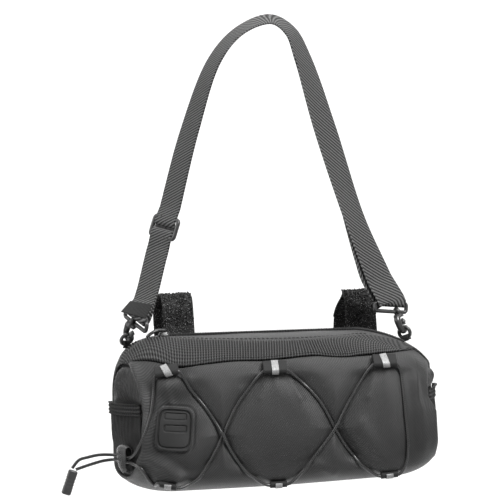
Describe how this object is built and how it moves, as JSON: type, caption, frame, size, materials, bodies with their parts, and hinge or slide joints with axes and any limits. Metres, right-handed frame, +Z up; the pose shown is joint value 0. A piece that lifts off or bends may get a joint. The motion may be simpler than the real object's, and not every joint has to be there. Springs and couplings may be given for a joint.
{
  "type": "handlebar bag",
  "caption": "Soft barrel-shaped handlebar bag with elastic cord lacing over the front, mesh end pockets, hook-and-pile bar straps and a shoulder strap on snap hooks.",
  "frame": {"origin": "underside of the shoulder strap at its highest point, where the bag hangs", "axes": "+X to the right along the bag seen from the front, +Y to the back towards the handlebar, +Z up"},
  "size_m": [0.3054, 0.135, 0.3765],
  "materials": {
    "coated_cloth": "satin coated woven cloth",
    "ribbed_cloth": "ribbed woven tape",
    "webbing": "matt woven webbing",
    "pile": "hook and pile tape",
    "mesh_cloth": "stretch mesh",
    "elastic": "sheathed elastic",
    "reflective": "reflective tape",
    "plastic": "moulded, satin",
    "gate_plastic": "moulded, satin, paler"
  },
  "bodies": {
    "bag": {"front_panel": "coated_cloth", "back_panel": "coated_cloth", "top_panel": "coated_cloth", "zip_tape": "webbing", "top_flap": "coated_cloth", "ribbed_band": "ribbed_cloth", "bungee_lacing": "elastic", "cord_tunnel": "webbing", "cord_end_clip": "plastic", "bungee_tail_upper": "elastic", "bungee_tail_lower": "elastic", "front_patch": "plastic", "zip_slider": "plastic", "zip_puller": "elastic", "shoulder_strap": "webbing", "strap_slider": "plastic", "end_panel_left": "coated_cloth", "mesh_pocket_left": "mesh_cloth", "pocket_hem_left": "elastic", "bar_strap_left": "pile", "bar_tongue_left": "pile", "hook_loop_left": "plastic", "hook_body_left": "plastic", "ring_left": "plastic", "ring_tab_left": "webbing", "end_panel_right": "coated_cloth", "mesh_pocket_right": "mesh_cloth", "pocket_hem_right": "elastic", "bar_strap_right": "pile", "bar_tongue_right": "pile", "hook_loop_right": "plastic", "hook_body_right": "plastic", "ring_right": "plastic", "ring_tab_right": "webbing", "cord_tab_top_left": "webbing", "reflector_top_left": "reflective", "cord_tab_top_middle": "webbing", "reflector_top_middle": "reflective", "cord_tab_top_right": "webbing", "reflector_top_right": "reflective", "cord_tab_bottom_left": "webbing", "reflector_bottom_left": "reflective", "cord_tab_bottom_middle": "webbing", "reflector_bottom_middle": "reflective", "cord_tab_bottom_right": "webbing", "reflector_bottom_right": "reflective"},
    "gate_left": {"hook_gate_left": "gate_plastic"},
    "gate_right": {"hook_gate_right": "gate_plastic"}
  },
  "joints": [
    {"name": "gate_left_hinge", "type": "hinge", "parent": "bag", "child": "gate_left", "pos_m": [-0.12102, -0.0046, -0.24016], "axis": [0.9094, 0.4121, -0.0571], "range_deg": [0, 25]},
    {"name": "gate_right_hinge", "type": "hinge", "parent": "bag", "child": "gate_right", "pos_m": [0.09533, 0.00505, -0.24163], "axis": [-0.7813, 0.5738, -0.2457], "range_deg": [0, 25]}
  ]
}
